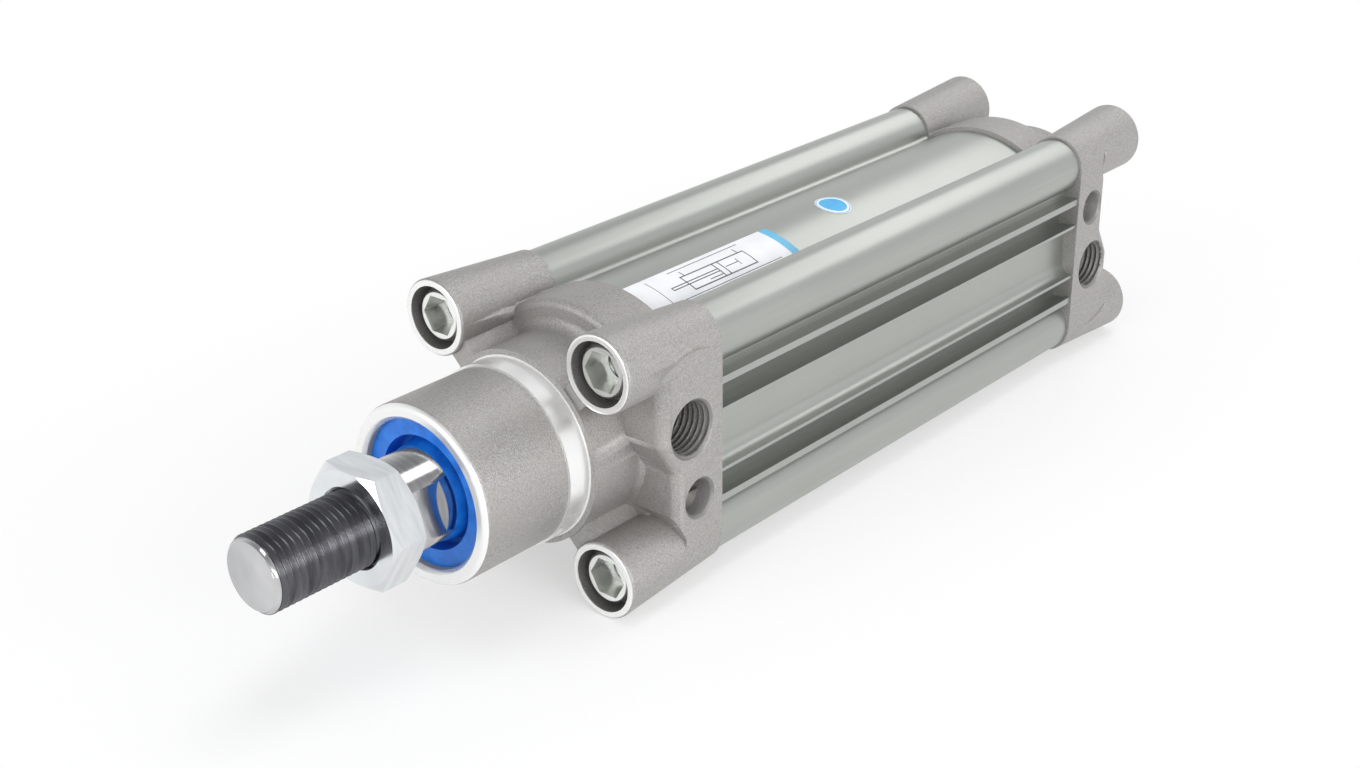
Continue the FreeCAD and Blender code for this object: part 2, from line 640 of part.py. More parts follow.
    # Threaded port and cushion screw bore, both reaching the chamber
    bores = (
        ("port", "-" + PORT_PLACE, "port_height", "port_radius", "port_depth", "passage_radius"),
        ("valve", "-" + VALVE_PLACE, "valve_height", "valve_radius", "valve_depth", "needle_radius"),
    )
    for name, x, z, radius, depth, inner_radius in bores:
        sketch = add_sketch(cap, "XZ_Plane", name + "_sketch", "-pad_face")
        draw_circle(sketch, x, z, radius)
        extrude(cap, sketch, name + "_bore", depth, cut=True, flip=True)
        sketch = add_sketch(cap, "XZ_Plane", name + "_inner_sketch", "-pad_face + " + depth)
        draw_circle(sketch, x, z, inner_radius)
        extrude(cap, sketch, name + "_drilling", "pad_face - " + depth, cut=True, flip=True)
        mouth = (number(x), face, number(z) + number(radius))
        dress(cap, "Chamfer", name + "_mouth", name + "_chamfer", [mouth])
    return cap


front_cap = build_cap("front_cap", front=True)
rear_cap = build_cap("rear_cap", front=False)


def build_cap_screws(label, front):
    """Four cap screws with a socket and a thread inside the head, as one group of solids."""
    group = []
    for index, (side, height) in enumerate(CORNER_SIGNS, start=1):
        screw = add_body(label + "_%d" % index, "0" if front else "-" + BACK, turned=not front)
        screw.setExpression(".Placement.Base.y", bound(corner_text(side)))
        screw.setExpression(".Placement.Base.z", bound(corner_text(height)))
        top = "-screw_head_recess"
        under = "-" + SCREW_SEAT
        tip = "-(cap_length + screw_thread_length)"
        turned(
            screw,
            "turned_screw",
            [
                (top, "0"),
                (top, "screw_head_radius - screw_head_chamfer"),
                (top + " - screw_head_chamfer", "screw_head_radius"),
                (under, "screw_head_radius"),
                (under, "thread_hole_radius"),
                (tip + " + screw_head_chamfer", "thread_hole_radius"),
                (tip, "thread_hole_radius - screw_head_chamfer"),
                (tip, "0"),
            ],
        )
        sketch = add_sketch(screw, "YZ_Plane", "socket_sketch", top)
        draw_hexagon(sketch, "screw_socket")
        extrude(screw, sketch, "socket", "screw_socket_depth", cut=True)
        sketch = add_sketch(screw, "YZ_Plane", "tapping_sketch", top)
        draw_circle(sketch, "0", "0", "screw_tap_radius")
        extrude(screw, sketch, "tapping_bore", "screw_tap_depth", cut=True)
        group.append(screw)
    return group


front_cap_screws = build_cap_screws("front_cap_screw", front=True)
rear_cap_screws = build_cap_screws("rear_cap_screw", front=False)


def build_cushion_screw(prefix, front):
    """Needle screw of one cap in its bore, and the ring that seals it; both stand along Y."""
    sign = "-" if front else "-" + BACK + " + "
    level = "valve_height" if front else "-valve_height"
    screw = add_body(prefix + "_cushion_screw", sign + VALVE_PLACE)
    screw.setExpression(".Placement.Base.z", bound(level))
    top = "(pad_face - valve_recess)"
    neck = "(" + top + " - valve_head)"
    land = "(" + neck + " - valve_stem)"
    foot = "(" + land + " - valve_land)"
    tip = "(" + foot + " - valve_needle_length)"
    wide = "(valve_radius - valve_gap)"
    sketch = add_sketch(screw, "XY_Plane", "needle_profile")
    draw_outline(
        sketch,
        [
            ("0", top),
            (wide, top),
            (wide, neck),
            ("valve_stem_radius", neck),
            ("valve_stem_radius", land),
            (wide, land),
            (wide, foot),
            ("needle_radius - 2 * valve_gap", foot),
            ("valve_tip_radius", tip),
            ("0", tip),
        ],
    )
    revolve(screw, sketch, "needle", axis="V_Axis")
    sketch = add_sketch(screw, "XZ_Plane", "driver_sketch", "-" + top)
    half = "driver_width / 2"
    draw_box(sketch, "-valve_radius", "-" + half, "valve_radius", half)
    extrude(screw, sketch, "driver_slot", "driver_depth", cut=True, flip=True)

    ring = doc.addObject("Part::Torus", prefix + "_cushion_screw_ring")
    ring.Label = ring.Name
    ring.setExpression("Radius1", bound("valve_radius - valve_gap - valve_ring_wire"))
    ring.setExpression("Radius2", bound("valve_ring_wire"))
    ring.Placement = FreeCAD.Placement(FreeCAD.Vector(), FreeCAD.Rotation(AXIS_X, QUARTER_TURN))
    ring.setExpression(".Placement.Base.x", bound(sign + VALVE_PLACE))
    ring.setExpression(".Placement.Base.y", bound(neck + " - valve_stem / 2"))
    ring.setExpression(".Placement.Base.z", bound(level))
    return screw, ring


front_cushion_screw, front_cushion_screw_ring = build_cushion_screw("front", front=True)
rear_cushion_screw, rear_cushion_screw_ring = build_cushion_screw("rear", front=False)


def build_ring(label, x, radius, wire):
    """A round cord ring about the axis."""
    ring = doc.addObject("Part::Torus", label)
    ring.Label = label
    ring.setExpression("Radius1", bound(radius + " - " + wire))
    ring.setExpression("Radius2", bound(wire))
    ring.Placement = FreeCAD.Placement(FreeCAD.Vector(), FreeCAD.Rotation(0, QUARTER_TURN, 0))
    ring.setExpression(".Placement.Base.x", bound(x))
    return ring


# Static rings between the cap spigots and the barrel
RING_MIDDLE = "(cap_length + ring_groove_start + ring_groove_width / 2)"
front_barrel_ring = build_ring(
    "front_barrel_ring", "-" + RING_MIDDLE, "bore_radius", "ring_groove_depth / 2"
)
rear_barrel_ring = build_ring(
    "rear_barrel_ring", "-" + BACK + " + " + RING_MIDDLE, "bore_radius", "ring_groove_depth / 2"
)


def build_cushion_seal(label, front):
    """Seal ring with a lip that meets the sleeve, held in the groove of its cap."""
    seal = add_body(label, "0" if front else "-" + BACK, turned=not front)
    near = "-" + SEAL_NEAR
    far = "-" + SEAL_FAR
    lip = "(sleeve_radius + running_gap)"
    turned(
        seal,
        "lip_seal",
        [
            (near, "cushion_seal_radius"),
            (near, "chamber_radius"),
            (near + " - cushion_seal_width / 4", lip),
            (near + " - cushion_seal_width / 2", lip),
            (far, "chamber_radius"),
            (far, "cushion_seal_radius"),
        ],
    )
    return seal


front_cushion_seal = build_cushion_seal("front_cushion_seal", front=True)
rear_cushion_seal = build_cushion_seal("rear_cushion_seal", front=False)

# Rod wiper: a ring with an open groove in its face and a lip about the rod
rod_wiper = add_body("rod_wiper")
wiper_face = "(collar_length - wiper_recess)"
rod_way = "(rod_radius + running_gap)"
turned(
    rod_wiper,
    "wiper",
    [
        ("wiper_seat", rod_way + " + running_gap"),
        ("wiper_seat", "wiper_outer_radius"),
        (wiper_face, "wiper_outer_radius"),
        (wiper_face, "wiper_groove_outer"),
        (wiper_face + " - wiper_groove_depth", "wiper_groove_outer"),
        (wiper_face + " - wiper_groove_depth", "wiper_groove_inner"),
        (wiper_face + " + wiper_lip_front", rod_way + " + 2 * running_gap"),
        (wiper_face + " + wiper_lip_front", rod_way),
        (wiper_face + " - wiper_lip_front", rod_way),
    ],
)

# Rod bush in the front cap
rod_bush = add_body("rod_bush", "-" + CHAMBER_END)
turned(
    rod_bush,
    "bush",
    [
        ("0", rod_way),
        ("0", "bush_outer_radius"),
        ("bush_length", "bush_outer_radius"),
        ("bush_length", rod_way),
    ],
)

# Piston rod: tail through the piston, shoulder, flats and the threaded end
piston_rod = add_body("piston_rod")
rod_shoulder = "-(" + PISTON_FRONT + " - sleeve_flange)"
rod_tail = "-(" + PISTON_BACK + " - end_gap)"
rod_tip = "(rod_end + thread_length)"
turned(
    piston_rod,
    "rod",
    [
        (rod_tail, "0"),
        (rod_tail, "spigot_rod_radius"),
        (rod_shoulder, "spigot_rod_radius"),
        (rod_shoulder, "rod_radius"),
        ("rod_end - shoulder_chamfer", "rod_radius"),
        ("rod_end", "rod_radius - shoulder_chamfer"),
        ("rod_end", "thread_radius - thread_undercut"),
        ("rod_end + thread_relief - thread_undercut", "thread_radius - thread_undercut"),
        ("rod_end + thread_relief", "thread_radius"),
        (rod_tip + " - thread_chamfer", "thread_radius"),
        (rod_tip, "thread_radius - thread_chamfer"),
        (rod_tip, "0"),
    ],
)
sketch = add_sketch(piston_rod, "YZ_Plane", "flats_sketch", "rod_end", "rod_flats_angle")
for sign in ("", "-"):
    draw_box(sketch, sign + "rod_flats / 2", "-rod_radius", sign + "rod_radius", "rod_radius")
extrude(piston_rod, sketch, "flats", "rod_flats_length", cut=True)
sketch = add_sketch(piston_rod, "YZ_Plane", "tail_sketch", rod_tail)
draw_circle(sketch, "0", "0", "rod_tap_radius")
extrude(piston_rod, sketch, "tapped_tail", "rod_tap_depth", cut=True, flip=True)

# Nut: hexagon bevelled at both faces by a cone about its axis
rod_nut = add_body("rod_nut", "rod_end + nut_gap")
sketch = add_sketch(rod_nut, "YZ_Plane", "hexagon_sketch")
draw_hexagon(sketch, "nut_flats")
extrude(rod_nut, sketch, "hexagon", "nut_height")
nut_corner = "nut_flats / sqrt(3)"
nut_rise = "(nut_flats / sqrt(3) - nut_flats / 2)"
nut_fall = "(" + nut_rise + " * tan(nut_chamfer_angle * 1 deg))"
for name, flat, toward in (("front_bevel", "nut_height", "-"), ("back_bevel", "0", "+")):
    turned(
        rod_nut,
        name,
        [
            (flat, "nut_flats / 2"),
            (flat, nut_corner + " + nut_gap"),
            (flat + toward + nut_fall, nut_corner + " + nut_gap"),
            (flat + toward + nut_fall, nut_corner),
        ],
        cut=True,
    )
sketch = add_sketch(rod_nut, "YZ_Plane", "nut_bore_sketch")
draw_circle(sketch, "0", "0", "thread_radius + nut_play")
extrude(rod_nut, sketch, "nut_bore", "nut_height", cut=True, flip=True)
for name, place in (("front_mouth", "nut_height"), ("back_mouth", "0")):
    point = (number(place), 0, number("thread_radius + nut_play"))
    dress(rod_nut, "Chamfer", name, "screw_head_chamfer", [point])


def build_piston_half(label, front):
    """Half of the piston with its seal groove and its share of the magnet and guide seats."""
    half = add_body(label, "-" + (PISTON_FRONT if front else PISTON_BACK), turned=not front)
    depth = "piston_length / 2"
    rim = "(bore_radius - piston_gap)"
    groove_far = "(seal_groove_offset + seal_groove_width)"
    points = [
        ("0", "spigot_rod_radius"),
        ("0", rim),
        ("-seal_groove_offset", rim),
        ("-seal_groove_offset", "seal_groove_radius"),
        ("-" + groove_far, "seal_groove_radius"),
        ("-" + groove_far, rim),
        ("-" + depth + " + guide_width / 2", rim),
        ("-" + depth + " + guide_width / 2", "guide_inner_radius"),
        ("-" + depth + " + magnet_width / 2", "guide_inner_radius"),
        ("-" + depth + " + magnet_width / 2", "magnet_inner_radius"),
        ("-" + depth, "magnet_inner_radius"),
        ("-" + depth, "spigot_rod_radius"),
    ]
    turned(half, "piston_half", points)
    return half


piston_front_half = build_piston_half("piston_front_half", front=True)
piston_rear_half = build_piston_half("piston_rear_half", front=False)
ring_offset = "-joint_ring_offset"
ring_width = "1.2 * joint_ring_wire"
turned(
    piston_front_half,
    "joint_ring_groove",
    [
        (ring_offset + " - " + ring_width, "spigot_rod_radius / 2"),
        (ring_offset + " - " + ring_width, "spigot_rod_radius + 2 * joint_ring_wire"),
        (ring_offset + " + " + ring_width, "spigot_rod_radius + 2 * joint_ring_wire"),
        (ring_offset + " + " + ring_width, "spigot_rod_radius / 2"),
    ],
    cut=True,
)
piston_joint_ring = build_ring(
    "piston_joint_ring",
    "-" + PISTON_FRONT + " - joint_ring_offset",
    "spigot_rod_radius + 2 * joint_ring_wire",
    "joint_ring_wire",
)


def build_piston_seal(label, front):
    """Lip seal in its groove; the lip leans toward the pressure side and opens over a hollow."""
    seal = add_body(label, "-" + (PISTON_FRONT if front else PISTON_BACK), turned=not front)
    near = "-(seal_groove_offset + running_gap)"
    far = "-(seal_groove_offset + seal_groove_width - running_gap)"
    edge = "(bore_radius - running_gap)"
    foot = "(seal_groove_radius + running_gap)"
    turned(
        seal,
        "lip_seal",
        [
            (near, foot),
            (near, foot + " + seal_lip"),
            (near + " - seal_vee", "(seal_groove_radius + bore_radius) / 2"),
            (near, edge + " - seal_lip"),
            (near + " - running_gap", edge),
            (near + " - seal_lip", edge),
            (far, edge + " - seal_lip"),
            (far, foot),
        ],
    )
    return seal


front_piston_seal = build_piston_seal("front_piston_seal", front=True)
rear_piston_seal = build_piston_seal("rear_piston_seal", front=False)


def build_middle_ring(label, width, inner_radius, outer_radius):
    """A plain ring shared by the two piston halves."""
    ring = add_body(label, "-(" + PISTON_FRONT + " + piston_length / 2)")
    turned(
        ring,
        "ring",
        [
            ("-" + width + " / 2", inner_radius),
            ("-" + width + " / 2", outer_radius),
            (width + " / 2", outer_radius),
            (width + " / 2", inner_radius),
        ],
    )
    return ring


guide_ring = build_middle_ring(
    "guide_ring",
    "(guide_width - 2 * running_gap)",
    "guide_inner_radius + running_gap",
    "bore_radius - running_gap",
)
magnet_ring = build_middle_ring(
    "magnet_ring", "magnet_width", "magnet_inner_radius", "guide_inner_radius"
)

# Cushion sleeves on either face of the piston, each with a tapered nose
front_sleeve = add_body("front_cushion_sleeve", "-" + PISTON_FRONT)
turned(
    front_sleeve,
    "sleeve",
    [
        ("0", "spigot_rod_radius"),
        ("0", "sleeve_radius"),
        ("sleeve_length - sleeve_taper", "sleeve_radius"),
        ("sleeve_length", "sleeve_radius - sleeve_nose"),
        ("sleeve_length", "rod_radius"),
        ("sleeve_flange", "rod_radius"),
        ("sleeve_flange", "spigot_rod_radius"),
    ],
)
rear_sleeve = add_body("rear_cushion_sleeve", "-" + PISTON_BACK, turned=True)
sleeve_floor = "(sleeve_length - bolt_head_height - bolt_head_sink)"
turned(
    rear_sleeve,
    "sleeve",
    [
        ("0", "bolt_radius + bolt_play"),
        ("0", "sleeve_radius"),
        ("sleeve_length - sleeve_taper", "sleeve_radius"),
        ("sleeve_length", "sleeve_radius - sleeve_nose"),
        ("sleeve_length", "bolt_head_radius + bolt_head_play"),
        (sleeve_floor, "bolt_head_radius + bolt_head_play"),
        (sleeve_floor, "bolt_radius + bolt_play"),
    ],
)

# Bolt that clamps sleeve, piston halves and rod
piston_bolt = add_body("piston_bolt", "-" + PISTON_BACK, turned=True)
bolt_end = "(end_gap + bolt_thread_length)"
turned(
    piston_bolt,
    "bolt",
    [
        ("-" + bolt_end, "0"),
        ("-" + bolt_end, "rod_tap_radius"),
        ("-end_gap", "rod_tap_radius"),
        ("-end_gap", "bolt_radius"),
        (sleeve_floor, "bolt_radius"),
        (sleeve_floor, "bolt_head_radius"),
        (sleeve_floor + " + bolt_head_height", "bolt_head_radius"),
        (sleeve_floor + " + bolt_head_height", "0"),
    ],
)
sketch = add_sketch(piston_bolt, "YZ_Plane", "socket_sketch", sleeve_floor + " + bolt_head_height")
draw_hexagon(sketch, "bolt_socket")
extrude(piston_bolt, sketch, "socket", "bolt_socket_depth", cut=True)


def build_arch_skin(label, x, length):
    """A thin tube lying on the arch of the barrel, to be trimmed to a label."""
    outside = doc.addObject("Part::Cylinder", label + "_outside")
    inside = doc.addObject("Part::Cylinder", label + "_inside")
    for cylinder, radius in ((outside, "arch_radius + label_thickness"), (inside, "arch_radius")):
        cylinder.Placement = FreeCAD.Placement(
            FreeCAD.Vector(), FreeCAD.Rotation(FreeCAD.Vector(0, 1, 0), QUARTER_TURN)
        )
        cylinder.setExpression("Radius", bound(radius))
        cylinder.setExpression("Height", bound(length))
        cylinder.setExpression(".Placement.Base.x", bound(x))
    skin = doc.addObject("Part::Cut", label + "_skin")
    skin.Base = outside
    skin.Tool = inside
    return skin


# Rectangular label on the arch, beginning at the front cap
label_skin = build_arch_skin(
    "barrel_label", "-(label_start + label_length)", "label_length"
)
label_block = doc.addObject("Part::Box", "barrel_label_block")
label_block.setExpression("Length", bound("label_length"))
label_block.setExpression("Width", bound("arch_radius * (sin(label_high * 1 deg) - sin(label_low * 1 deg))"))
label_block.setExpression("Height", bound("2 * arch_radius"))
label_block.setExpression(".Placement.Base.x", bound("-(label_start + label_length)"))
label_block.setExpression(".Placement.Base.y", bound("arch_radius * sin(label_low * 1 deg)"))
barrel_label = doc.addObject("Part::Common", "barrel_label")
barrel_label.Base = label_skin
barrel_label.Tool = label_block

# Round sticker further back on the arch
sticker_skin = build_arch_skin(
    "round_sticker", "-(sticker_setback + 2 * sticker_radius)", "4 * sticker_radius"
)
sticker_punch = doc.addObject("Part::Cylinder", "round_sticker_punch")
sticker_punch.setExpression("Radius", bound("sticker_radius"))
sticker_punch.setExpression("Height", bound("2 * arch_radius"))
sticker_punch.setExpression(".Placement.Base.x", bound("-sticker_setback"))
sticker_punch.setExpression(".Placement.Base.y", bound("sticker_side"))
round_sticker = doc.addObject("Part::Common", "round_sticker")
round_sticker.Base = sticker_skin
round_sticker.Tool = sticker_punch

# The screws of each cap are kept as one group of separate solids
groups = {}
for label, screws in (("front_cap_screws", front_cap_screws), ("rear_cap_screws", rear_cap_screws)):
    group = doc.addObject("Part::Compound", label)
    group.Links = screws
    groups[label] = group

doc.removeObject(trial.Name)
doc.recompute()

SINGLE = [
    barrel,
    front_cap,
    rear_cap,
    front_cushion_screw,
    front_cushion_screw_ring,
    rear_cushion_screw,
    rear_cushion_screw_ring,
    front_barrel_ring,
    rear_barrel_ring,
    front_cushion_seal,
    rear_cushion_seal,
    rod_wiper,
    rod_bush,
    piston_rod,
    rod_nut,
    piston_front_half,
    piston_rear_half,
    piston_joint_ring,
    front_piston_seal,
    rear_piston_seal,
    guide_ring,
    magnet_ring,
    front_sleeve,
    rear_sleeve,
    piston_bolt,
    barrel_label,
    round_sticker,
]

for item in doc.Objects:
    if "Invalid" in item.State or "Error" in item.State:
        raise RuntimeError(item.Label + " is not up to date: " + ", ".join(item.State))
os.makedirs("parts", exist_ok=True)
for item in SINGLE + list(groups.values()):
    shape = item.Shape
    count = len(shape.Solids)
    expected = 1 if item in SINGLE else len(CORNER_SIGNS)
    if shape.isNull() or not shape.isValid() or count != expected:
        raise RuntimeError(item.Label + " has no sound shape")
    shape.exportStep("parts/" + item.Label + ".step")
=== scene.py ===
import math

import bpy
from mathutils import Matrix, Vector


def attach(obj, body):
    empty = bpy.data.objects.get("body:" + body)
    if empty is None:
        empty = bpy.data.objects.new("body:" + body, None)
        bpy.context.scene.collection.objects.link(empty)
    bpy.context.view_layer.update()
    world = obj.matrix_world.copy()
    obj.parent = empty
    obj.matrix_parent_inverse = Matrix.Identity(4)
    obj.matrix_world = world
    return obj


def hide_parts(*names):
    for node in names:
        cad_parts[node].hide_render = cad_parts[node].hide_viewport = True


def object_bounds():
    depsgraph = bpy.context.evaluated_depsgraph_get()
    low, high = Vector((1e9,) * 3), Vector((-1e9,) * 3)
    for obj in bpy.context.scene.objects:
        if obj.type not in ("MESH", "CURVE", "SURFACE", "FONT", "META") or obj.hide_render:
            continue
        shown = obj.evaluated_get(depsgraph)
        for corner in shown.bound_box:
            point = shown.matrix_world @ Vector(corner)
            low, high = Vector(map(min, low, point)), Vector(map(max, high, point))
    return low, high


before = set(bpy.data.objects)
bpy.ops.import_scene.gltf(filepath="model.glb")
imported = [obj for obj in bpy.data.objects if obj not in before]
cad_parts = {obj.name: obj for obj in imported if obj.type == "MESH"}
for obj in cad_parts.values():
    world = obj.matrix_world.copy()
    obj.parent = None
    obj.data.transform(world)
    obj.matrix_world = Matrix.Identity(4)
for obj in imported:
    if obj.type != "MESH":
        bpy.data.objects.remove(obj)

bl_info = {
    "name": "Single rod cylinder",
    "version": (1, 0, 0),
    "blender": (4, 5, 0),
    "location": "View3D > Sidebar > Cylinder",
    "description": "Threads, prints, materials, light and camera for a pneumatic cylinder",
    "category": "Object",
}

MM = 0.001
WHITE = (1.0, 1.0, 1.0, 1.0)

# Places on the part that masks, prints and threads go by, as its source has them
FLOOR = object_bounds()[0][2]
BACK = -206.0 * MM  # rear mounting face; the front one is at 0
CORNER = 23.25 * MM  # from the rod axis to a cap screw, along Y and along Z
ARCH = 26.6 * MM  # radius of the barrel's arch
COLLAR = 20.3 * MM  # just past the radius of the turned collar
PORT_DEPTH = -19.8 * MM  # from a mounting face to the middle of its port
PORT_HEIGHT = 6.4 * MM  # over the axis at the front, under it at the rear
PORT_FACE = 31.1 * MM  # height of the port face over the axis, along Y
VALVE_DEPTH = -22.1 * MM  # from a mounting face to the middle of its cushion screw
VALVE_HEIGHT = -10.3 * MM
SOCKET_DEPTH = 7.0 * MM  # bottom of the hexagon in a cap screw
ROD_THREAD = (37.5 * MM, 68.2 * MM)
MIDDLE = -70.0 * MM  # the camera's target and the middle of the shadow, along X


def srgb(text):
    """Linear colour, with alpha, of a six digit sRGB text."""
    parts = [int(text[i:i + 2], 16) / 255 for i in (0, 2, 4)]
    linear = [p / 12.92 if p <= 0.04045 else ((p + 0.055) / 1.055) ** 2.4 for p in parts]
    return (*linear, 1.0)


def add_node(tree, kind, inputs=None, **settings):
    """A node with its settings and inputs; an input may be a value or another node's output."""
    node = tree.nodes.new(kind)
    for key, value in settings.items():
        setattr(node, key, value)
    for key, value in (inputs or {}).items():
        socket = node.inputs[key]
        if isinstance(value, bpy.types.NodeSocket):
            tree.links.new(value, socket)
        else:
            socket.default_value = value
    return node


def start_material(name):
    """A material with a principled shader, its tree, shader and object coordinates."""
    material = bpy.data.materials.new(name)
    material.use_nodes = True
    tree = material.node_tree
    tree.nodes.clear()
    shader = add_node(tree, "ShaderNodeBsdfPrincipled")
    output = add_node(tree, "ShaderNodeOutputMaterial")
    tree.links.new(shader.outputs["BSDF"], output.inputs["Surface"])
    coordinates = add_node(tree, "ShaderNodeTexCoord")
    return material, tree, shader, coordinates.outputs["Object"]


def value_math(tree, operation, first, second=0.0, third=0.0):
    """Result of one math node."""
    return add_node(
        tree, "ShaderNodeMath", {0: first, 1: second, 2: third}, operation=operation
    ).outputs[0]


def noise(tree, vector, scale, detail=2.0, stretch=(1.0, 1.0, 1.0)):
    """Noise between 0 and 1 over object coordinates, stretched along the axes."""
    mapped = add_node(tree, "ShaderNodeMapping", {"Vector": vector, "Scale": stretch})
    made = add_node(
        tree, "ShaderNodeTexNoise", {"Vector": mapped.outputs[0], "Scale": scale, "Detail": detail}
    )
    return made.outputs["Fac"]


def ramp(tree, factor, low, high, first, second):
    """A value that runs from first to second as the factor goes from low to high."""
    return add_node(
        tree,
        "ShaderNodeMapRange",
        {"Value": factor, "From Min": low, "From Max": high, "To Min": first, "To Max": second},
    ).outputs["Result"]


def blend_colour(tree, factor, first, second):
    """Mix of two colours."""
    return add_node(
        tree, "ShaderNodeMix", {0: factor, 6: first, 7: second}, data_type="RGBA").outputs[2]


def mottle(tree, pattern, first, second, share=1.0):
    """Two colours mixed by the middle range of a noise, up to a share of the second."""
    return blend_colour(tree, ramp(tree, pattern, 0.3, 0.7, 0.0, share), first, second)


def bump(tree, shader, height, distance, strength=1.0):
    """Fine relief under the shader."""
    made = add_node(
        tree, "ShaderNodeBump", {"Height": height, "Distance": distance, "Strength": strength}
    )
    tree.links.new(made.outputs["Normal"], shader.inputs["Normal"])


def plug(tree, shader, name, value):
    """Sets or links one input of the shader."""
    if isinstance(value, bpy.types.NodeSocket):
        tree.links.new(value, shader.inputs[name])
    else:
        shader.inputs[name].default_value = value


def above(tree, value, limit):
    """1 where the value lies over the limit, else 0."""
    return value_math(tree, "GREATER_THAN", value, limit)


def below(tree, value, limit):
    """1 where the value lies under the limit, else 0."""
    return value_math(tree, "LESS_THAN", value, limit)


def both(tree, first, second):
    """1 where both masks are 1, else 0."""
    return value_math(tree, "MULTIPLY", first, second)


def between(tree, value, low, high):
    """1 where the value lies between two limits, else 0."""
    return both(tree, above(tree, value, low), below(tree, value, high))


def length_of(tree, first, second):
    """Root of the sum of two squares."""
    squares = [value_math(tree, "MULTIPLY", value, value) for value in (first, second)]
    return value_math(tree, "SQRT", value_math(tree, "ADD", *squares))


def any_of(tree, masks):
    """The largest of some masks."""
    result = masks[0]
    for mask in masks[1:]:
        result = value_math(tree, "MAXIMUM", result, mask)
    return result


def cap_masks(tree, place, front):
    """Where a cap is turned, where its screw recesses are and where its port and cushion screw
    holes are; the recesses and the holes get painted shade.
    """
    x, y, z = add_node(tree, "ShaderNodeSeparateXYZ", {0: place}).outputs
    depth = x if front else value_math(tree, "SUBTRACT", BACK, x)

    # Boss faces and screw recesses, round the nearest of the four screws; the recess mouths and
    # seats take painted shade
    side, height = (
        value_math(tree, "SUBTRACT", value_math(tree, "ABSOLUTE", value), CORNER)
        for value in (y, z))
    from_screw = length_of(tree, side, height)
    face = both(tree, below(tree, from_screw, 8.7 * MM), above(tree, depth, -0.12 * MM))
    mouth = both(
        tree, below(tree, from_screw, 7.06 * MM), between(tree, depth, -5.2 * MM, -0.3 * MM))
    seat = both(tree, below(tree, from_screw, 6.1 * MM), below(tree, depth, -5.0 * MM))

    # Turned bands: the collar's foot and its end at the front, the locating recess at the rear
    if front:
        bands = any_of(tree, [
            between(tree, x, -0.75 * MM, 5.05 * MM), above(tree, x, 27.2 * MM)])
    else:
        bands = above(tree, depth, -3.4 * MM)
    turned = any_of(
        tree, [face, both(tree, below(tree, length_of(tree, y, z), COLLAR), bands)])

    # Port and cushion screw holes, both on the port side; their walls take painted shade
    bore_shade = []
    for bore_depth, bore_height, radius in (
            (PORT_DEPTH, PORT_HEIGHT, 6.6 * MM), (VALVE_DEPTH, VALVE_HEIGHT, 4.75 * MM)):
        along = value_math(tree, "SUBTRACT", depth, bore_depth)
        level = value_math(tree, "SUBTRACT", z, bore_height if front else -bore_height)
        near = below(tree, length_of(tree, along, level), radius)
        bore_shade.append(both(tree, near, above(tree, y, 18.0 * MM)))
    return turned, any_of(tree, [mouth, seat]), any_of(tree, bore_shade)


def cast_aluminium(name, front):
    """Blasted die cast aluminium: a dull, finely pitted grey; its turned faces are bright. Its
    screw recesses and its port and cushion screw holes are darkened as painted shade.
    """
    material, tree, shader, place = start_material(name)
    turned, recess, bore_shade = cap_masks(tree, place, front)
    # Grit of about 0.3 mm, pits of about 0.7 mm and clouds of about 11 mm
    grain = noise(tree, place, 3400.0, 3.0)
    pits = noise(tree, place, 1500.0, 2.0)
    cloud = noise(tree, place, 90.0, 3.0)
    colour = mottle(tree, grain, srgb("918f8d"), srgb("b8b6b4"))
    colour = blend_colour(
        tree, ramp(tree, pits, 0.55, 0.75, 0.0, 0.45), colour, srgb("83807e"))
    colour = blend_colour(
        tree, ramp(tree, cloud, 0.35, 0.7, 0.0, 0.3), colour, srgb("aca7a3"))
    colour = blend_colour(tree, turned, colour, srgb("efefee"))
    # Painted shade: the walls of the port and cushion screw holes are painted a flat darker grey
    colour = blend_colour(tree, bore_shade, colour, srgb("8f8d8b"))
    # Painted shade: the screw recesses are darkened towards a dark grey, standing in for the shadow
    # that the screw head and the boss wall cast there
    shade = value_math(tree, "MULTIPLY", recess, 0.75)
    colour = blend_colour(tree, shade, colour, srgb("6c6b6a"))
    tree.links.new(colour, shader.inputs["Base Color"])
    plug(tree, shader, "Metallic", 0.7)
    plug(tree, shader, "Roughness", ramp(tree, turned, 0.0, 1.0, 0.5, 0.27))
    # The turning lines run round the axis and replace most of the grit
    lines = noise(tree, place, 1500.0, 1.0, (1.0, 0.05, 0.05))
    relief = value_math(tree, "ADD", grain, value_math(tree, "MULTIPLY", pits, 0.8))
    relief = value_math(tree, "MULTIPLY", relief, ramp(tree, turned, 0.0, 1.0, 1.0, 0.08))
    relief = value_math(tree, "ADD", relief, value_math(tree, "MULTIPLY", lines, 0.1))
    bump(tree, shader, relief, 0.1 * MM)
    return material


def drawn_aluminium(name):
    """Satin anodised extrusion: long soft reflections, with faint lines along its length."""
    material, tree, shader, place = start_material(name)
    lines = noise(tree, place, 900.0, 2.0, (0.02, 1.0, 1.0))
    cloud = noise(tree, place, 40.0, 2.0)
    colour = mottle(tree, lines, srgb("a9aca7"), srgb("afb1ac"), 0.6)
    colour = blend_colour(tree, ramp(tree, cloud, 0.4, 0.7, 0.0, 0.2), colour, srgb("a1a39f"))
    tree.links.new(colour, shader.inputs["Base Color"])
    plug(tree, shader, "Metallic", 0.92)
    plug(tree, shader, "Roughness", ramp(tree, lines, 0.3, 0.7, 0.35, 0.37))
    bump(tree, shader, lines, 0.001 * MM)
    return material


